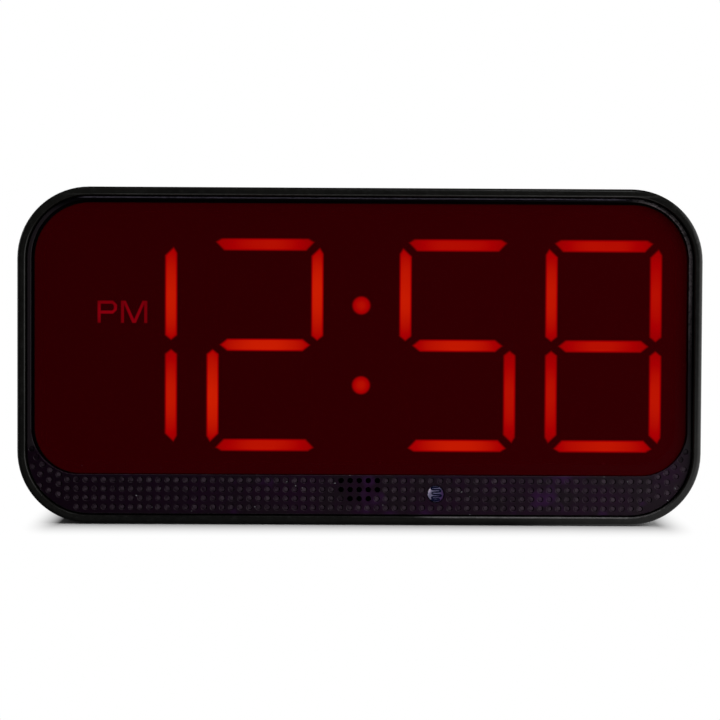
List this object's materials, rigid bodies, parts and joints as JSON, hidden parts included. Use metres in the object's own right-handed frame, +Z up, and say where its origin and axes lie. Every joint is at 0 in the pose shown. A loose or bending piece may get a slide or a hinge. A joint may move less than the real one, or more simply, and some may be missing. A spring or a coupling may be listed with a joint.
{
  "type": "digital alarm clock",
  "caption": "Large-digit red LED alarm clock in a rounded black case with a dimming light sensor, snooze bar and rear controls.",
  "frame": {"origin": "on the resting plane, below the middle of the case's outline", "axes": "+X to the right seen from the front (longest side), +Y from the display to the rear cover, +Z up"},
  "size_m": [0.205, 0.047, 0.1011],
  "materials": {
    "rim_plastic": "semi-gloss black",
    "panel_plastic": "fine satin, purplish black",
    "red_acrylic": "clear dark red",
    "mask_plastic": "matt black",
    "lit_segment": "glowing red diffuser",
    "lit_legend": "dim glowing red",
    "dark_segment": "unlit diffuser",
    "led_resin": "clear resin",
    "circuit_board": "green solder mask",
    "screw_steel": "zinc plated",
    "sensor_ceramic": "glazed ceramic with a dark track",
    "tinned_wire": "tinned",
    "connector_plastic": "natural nylon",
    "cable_grey": "soft vinyl",
    "capacitor_sleeve": "shrink sleeve",
    "cell_steel": "nickel plated",
    "button_plastic": "satin black",
    "cover_plastic": "fine spark-eroded texture",
    "foot_rubber": "matt",
    "label_film": "blank silver-grey film"
  },
  "bodies": {
    "case": {"front_frame": "rim_plastic", "front_panel": "panel_plastic", "red_window": "red_acrylic", "reflector_block": "mask_plastic", "hour_tens_segments": "lit_segment", "hour_units_segments": "lit_segment", "minute_tens_segments": "lit_segment", "minute_units_segments": "lit_segment", "colon_dots": "lit_segment", "pm_legend": "lit_legend", "unlit_segments": "dark_segment", "segment_leds": "led_resin", "display_board": "circuit_board", "display_screws": "screw_steel", "light_sensor": "sensor_ceramic", "light_sensor_leads": "tinned_wire", "buzzer": "mask_plastic", "buzzer_pins": "tinned_wire", "ribbon_headers": "connector_plastic", "ribbon_plugs": "connector_plastic", "ribbon_cable": "cable_grey", "main_board": "circuit_board", "main_board_screws": "screw_steel", "controller_chip": "mask_plastic", "driver_chips": "mask_plastic", "crystal": "tinned_wire", "capacitors": "capacitor_sleeve", "voltage_regulator": "mask_plastic", "resistors": "mask_plastic", "coin_cell_holder": "mask_plastic", "coin_cell": "cell_steel", "cell_contact": "tinned_wire", "tact_switches": "mask_plastic", "snooze_switch": "mask_plastic", "rear_cover": "cover_plastic", "case_screws": "screw_steel", "alarm_slide_switch": "cell_steel", "power_jack": "mask_plastic", "power_jack_pin": "tinned_wire", "front_feet": "foot_rubber", "rear_feet": "foot_rubber", "rating_label": "label_film"},
    "snooze": {"snooze_bar": "button_plastic", "snooze_switch_plunger": "button_plastic"},
    "alarm_key": {"alarm_button": "button_plastic", "alarm_switch_plunger": "button_plastic"},
    "time_key": {"time_button": "button_plastic", "time_switch_plunger": "button_plastic"},
    "hour_key": {"hour_button": "button_plastic", "hour_switch_plunger": "button_plastic"},
    "minute_key": {"minute_button": "button_plastic", "minute_switch_plunger": "button_plastic"},
    "alarm_knob": {"alarm_slide_knob": "button_plastic"},
    "cell_cap": {"battery_cap": "cover_plastic"}
  },
  "joints": [
    {"name": "snooze_press", "type": "slide", "parent": "case", "child": "snooze", "axis": [0, 0, -1], "range_m": [0, 0.0012], "stiffness_N_per_m": 1500, "springref_m": -0.0005},
    {"name": "alarm_button_press", "type": "slide", "parent": "case", "child": "alarm_key", "axis": [0, -1, 0], "range_m": [0, 0.0008], "stiffness_N_per_m": 2000, "springref_m": -0.0003},
    {"name": "time_button_press", "type": "slide", "parent": "case", "child": "time_key", "axis": [0, -1, 0], "range_m": [0, 0.0008], "stiffness_N_per_m": 2000, "springref_m": -0.0003},
    {"name": "hour_button_press", "type": "slide", "parent": "case", "child": "hour_key", "axis": [0, -1, 0], "range_m": [0, 0.0008], "stiffness_N_per_m": 2000, "springref_m": -0.0003},
    {"name": "minute_button_press", "type": "slide", "parent": "case", "child": "minute_key", "axis": [0, -1, 0], "range_m": [0, 0.0008], "stiffness_N_per_m": 2000, "springref_m": -0.0003},
    {"name": "alarm_slide", "type": "slide", "parent": "case", "child": "alarm_knob", "axis": [1, 0, 0], "range_m": [0, 0.003]},
    {"name": "battery_cap_turn", "type": "hinge", "parent": "case", "child": "cell_cap", "pos_m": [0.036, 0.0227, 0.0427], "axis": [0, 1, 0], "range_deg": [0, 45]}
  ]
}
